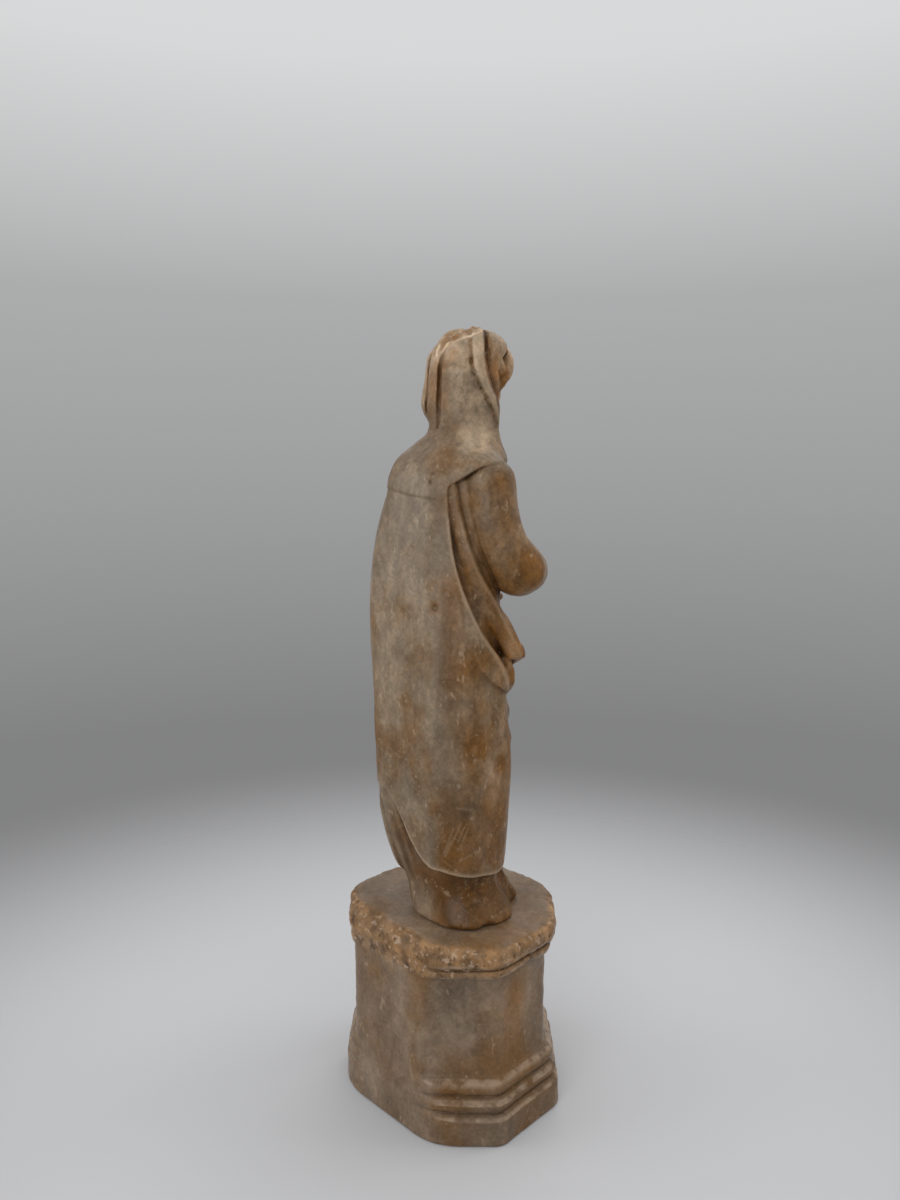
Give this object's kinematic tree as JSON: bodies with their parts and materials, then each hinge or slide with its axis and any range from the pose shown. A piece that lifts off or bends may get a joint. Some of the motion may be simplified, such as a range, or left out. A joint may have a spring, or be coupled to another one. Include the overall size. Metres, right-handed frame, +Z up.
{
  "type": "virgin and child statue",
  "caption": "Carved alabaster statue of the standing Virgin with the Child on her arm, on a moulded eight-sided pedestal with a plain back.",
  "frame": {"origin": "on the pedestal's underside, where the axis that its faces are measured from meets the surface the statue stands on", "axes": "+Z up; the figure faces -Y, and its left side, where the Child is, is towards +X"},
  "size_m": [0.1201, 0.1076, 0.4185],
  "materials": {
    "figure_alabaster": "waxy, softly polished, honey and brown stained, worn pale on the raised edges",
    "pedestal_alabaster": "waxy, dull polish, pinkish grey with brown dirt at the worn cap"
  },
  "bodies": {
    "root": {"virgin_and_child": "figure_alabaster", "pedestal": "pedestal_alabaster"}
  },
  "joints": []
}
